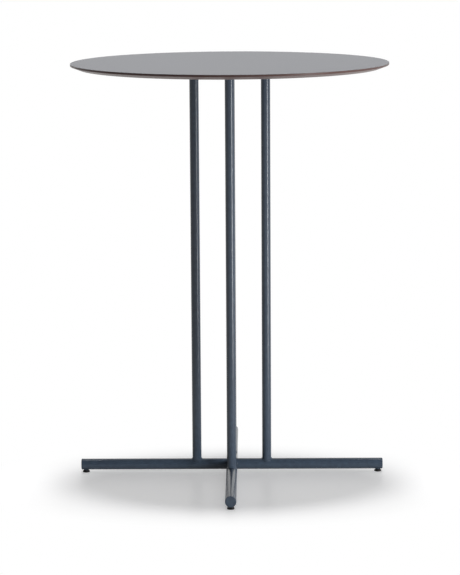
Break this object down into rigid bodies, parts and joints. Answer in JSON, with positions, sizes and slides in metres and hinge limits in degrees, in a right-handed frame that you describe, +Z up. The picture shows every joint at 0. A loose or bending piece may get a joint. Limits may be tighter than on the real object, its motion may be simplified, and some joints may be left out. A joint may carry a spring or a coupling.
{
  "type": "high table",
  "caption": "Round bar-height table with a thin laminate top, upright tubes and a cross foot of round tube on screw-adjusted levelling feet.",
  "frame": {"origin": "on the floor under the middle of the table top", "axes": "+Z up, -Y towards the front arm of the cross, +X towards the right arm"},
  "size_m": [0.7999, 0.8, 1.055],
  "materials": {
    "laminate_face": "matt grey decor laminate",
    "laminate_core": "dark brown compact laminate core, machined edge",
    "frame_paint": "dark blue-grey powder coat",
    "screw_steel": "zinc plated",
    "bush_steel": "plain turned steel",
    "stud_steel": "blackened steel",
    "foot_plastic": "matt black moulded plastic"
  },
  "bodies": {
    "table": {"tabletop_face": "laminate_face", "tabletop_core": "laminate_core", "top_plate": "frame_paint", "top_screws": "screw_steel", "cross_tube": "frame_paint", "front_spoke": "frame_paint", "rear_spoke": "frame_paint", "end_caps": "frame_paint", "foot_bushes": "bush_steel", "column_left": "frame_paint", "column_right": "frame_paint", "column_front": "frame_paint", "column_rear": "frame_paint"},
    "pad_left": {"foot_pad_left": "foot_plastic"},
    "stud_left": {"foot_stud_left": "stud_steel"},
    "pad_right": {"foot_pad_right": "foot_plastic"},
    "stud_right": {"foot_stud_right": "stud_steel"},
    "pad_front": {"foot_pad_front": "foot_plastic"},
    "stud_front": {"foot_stud_front": "stud_steel"},
    "pad_rear": {"foot_pad_rear": "foot_plastic"},
    "stud_rear": {"foot_stud_rear": "stud_steel"}
  },
  "joints": [
    {"name": "foot_height_left", "type": "slide", "parent": "table", "child": "pad_left", "axis": [0, 0, -1], "range_m": [0, 0.01]},
    {"name": "foot_turn_left", "type": "hinge", "parent": "pad_left", "child": "stud_left", "pos_m": [-0.3765, 0, 0], "axis": [0, 0, -1], "range_deg": [0, 2880]},
    {"name": "foot_height_right", "type": "slide", "parent": "table", "child": "pad_right", "axis": [0, 0, -1], "range_m": [0, 0.01]},
    {"name": "foot_turn_right", "type": "hinge", "parent": "pad_right", "child": "stud_right", "pos_m": [0.3765, 0, 0], "axis": [0, 0, -1], "range_deg": [0, 2880]},
    {"name": "foot_height_front", "type": "slide", "parent": "table", "child": "pad_front", "axis": [0, 0, -1], "range_m": [0, 0.01]},
    {"name": "foot_turn_front", "type": "hinge", "parent": "pad_front", "child": "stud_front", "pos_m": [0, -0.3765, 0], "axis": [0, 0, -1], "range_deg": [0, 2880]},
    {"name": "foot_height_rear", "type": "slide", "parent": "table", "child": "pad_rear", "axis": [0, 0, -1], "range_m": [0, 0.01]},
    {"name": "foot_turn_rear", "type": "hinge", "parent": "pad_rear", "child": "stud_rear", "pos_m": [0, 0.3765, 0], "axis": [0, 0, -1], "range_deg": [0, 2880]}
  ],
  "couplings": [
    {"joint": "foot_turn_left", "follows": "foot_height_left", "rad_per_m": 5026.5},
    {"joint": "foot_turn_right", "follows": "foot_height_right", "rad_per_m": 5026.5},
    {"joint": "foot_turn_front", "follows": "foot_height_front", "rad_per_m": 5026.5},
    {"joint": "foot_turn_rear", "follows": "foot_height_rear", "rad_per_m": 5026.5}
  ]
}
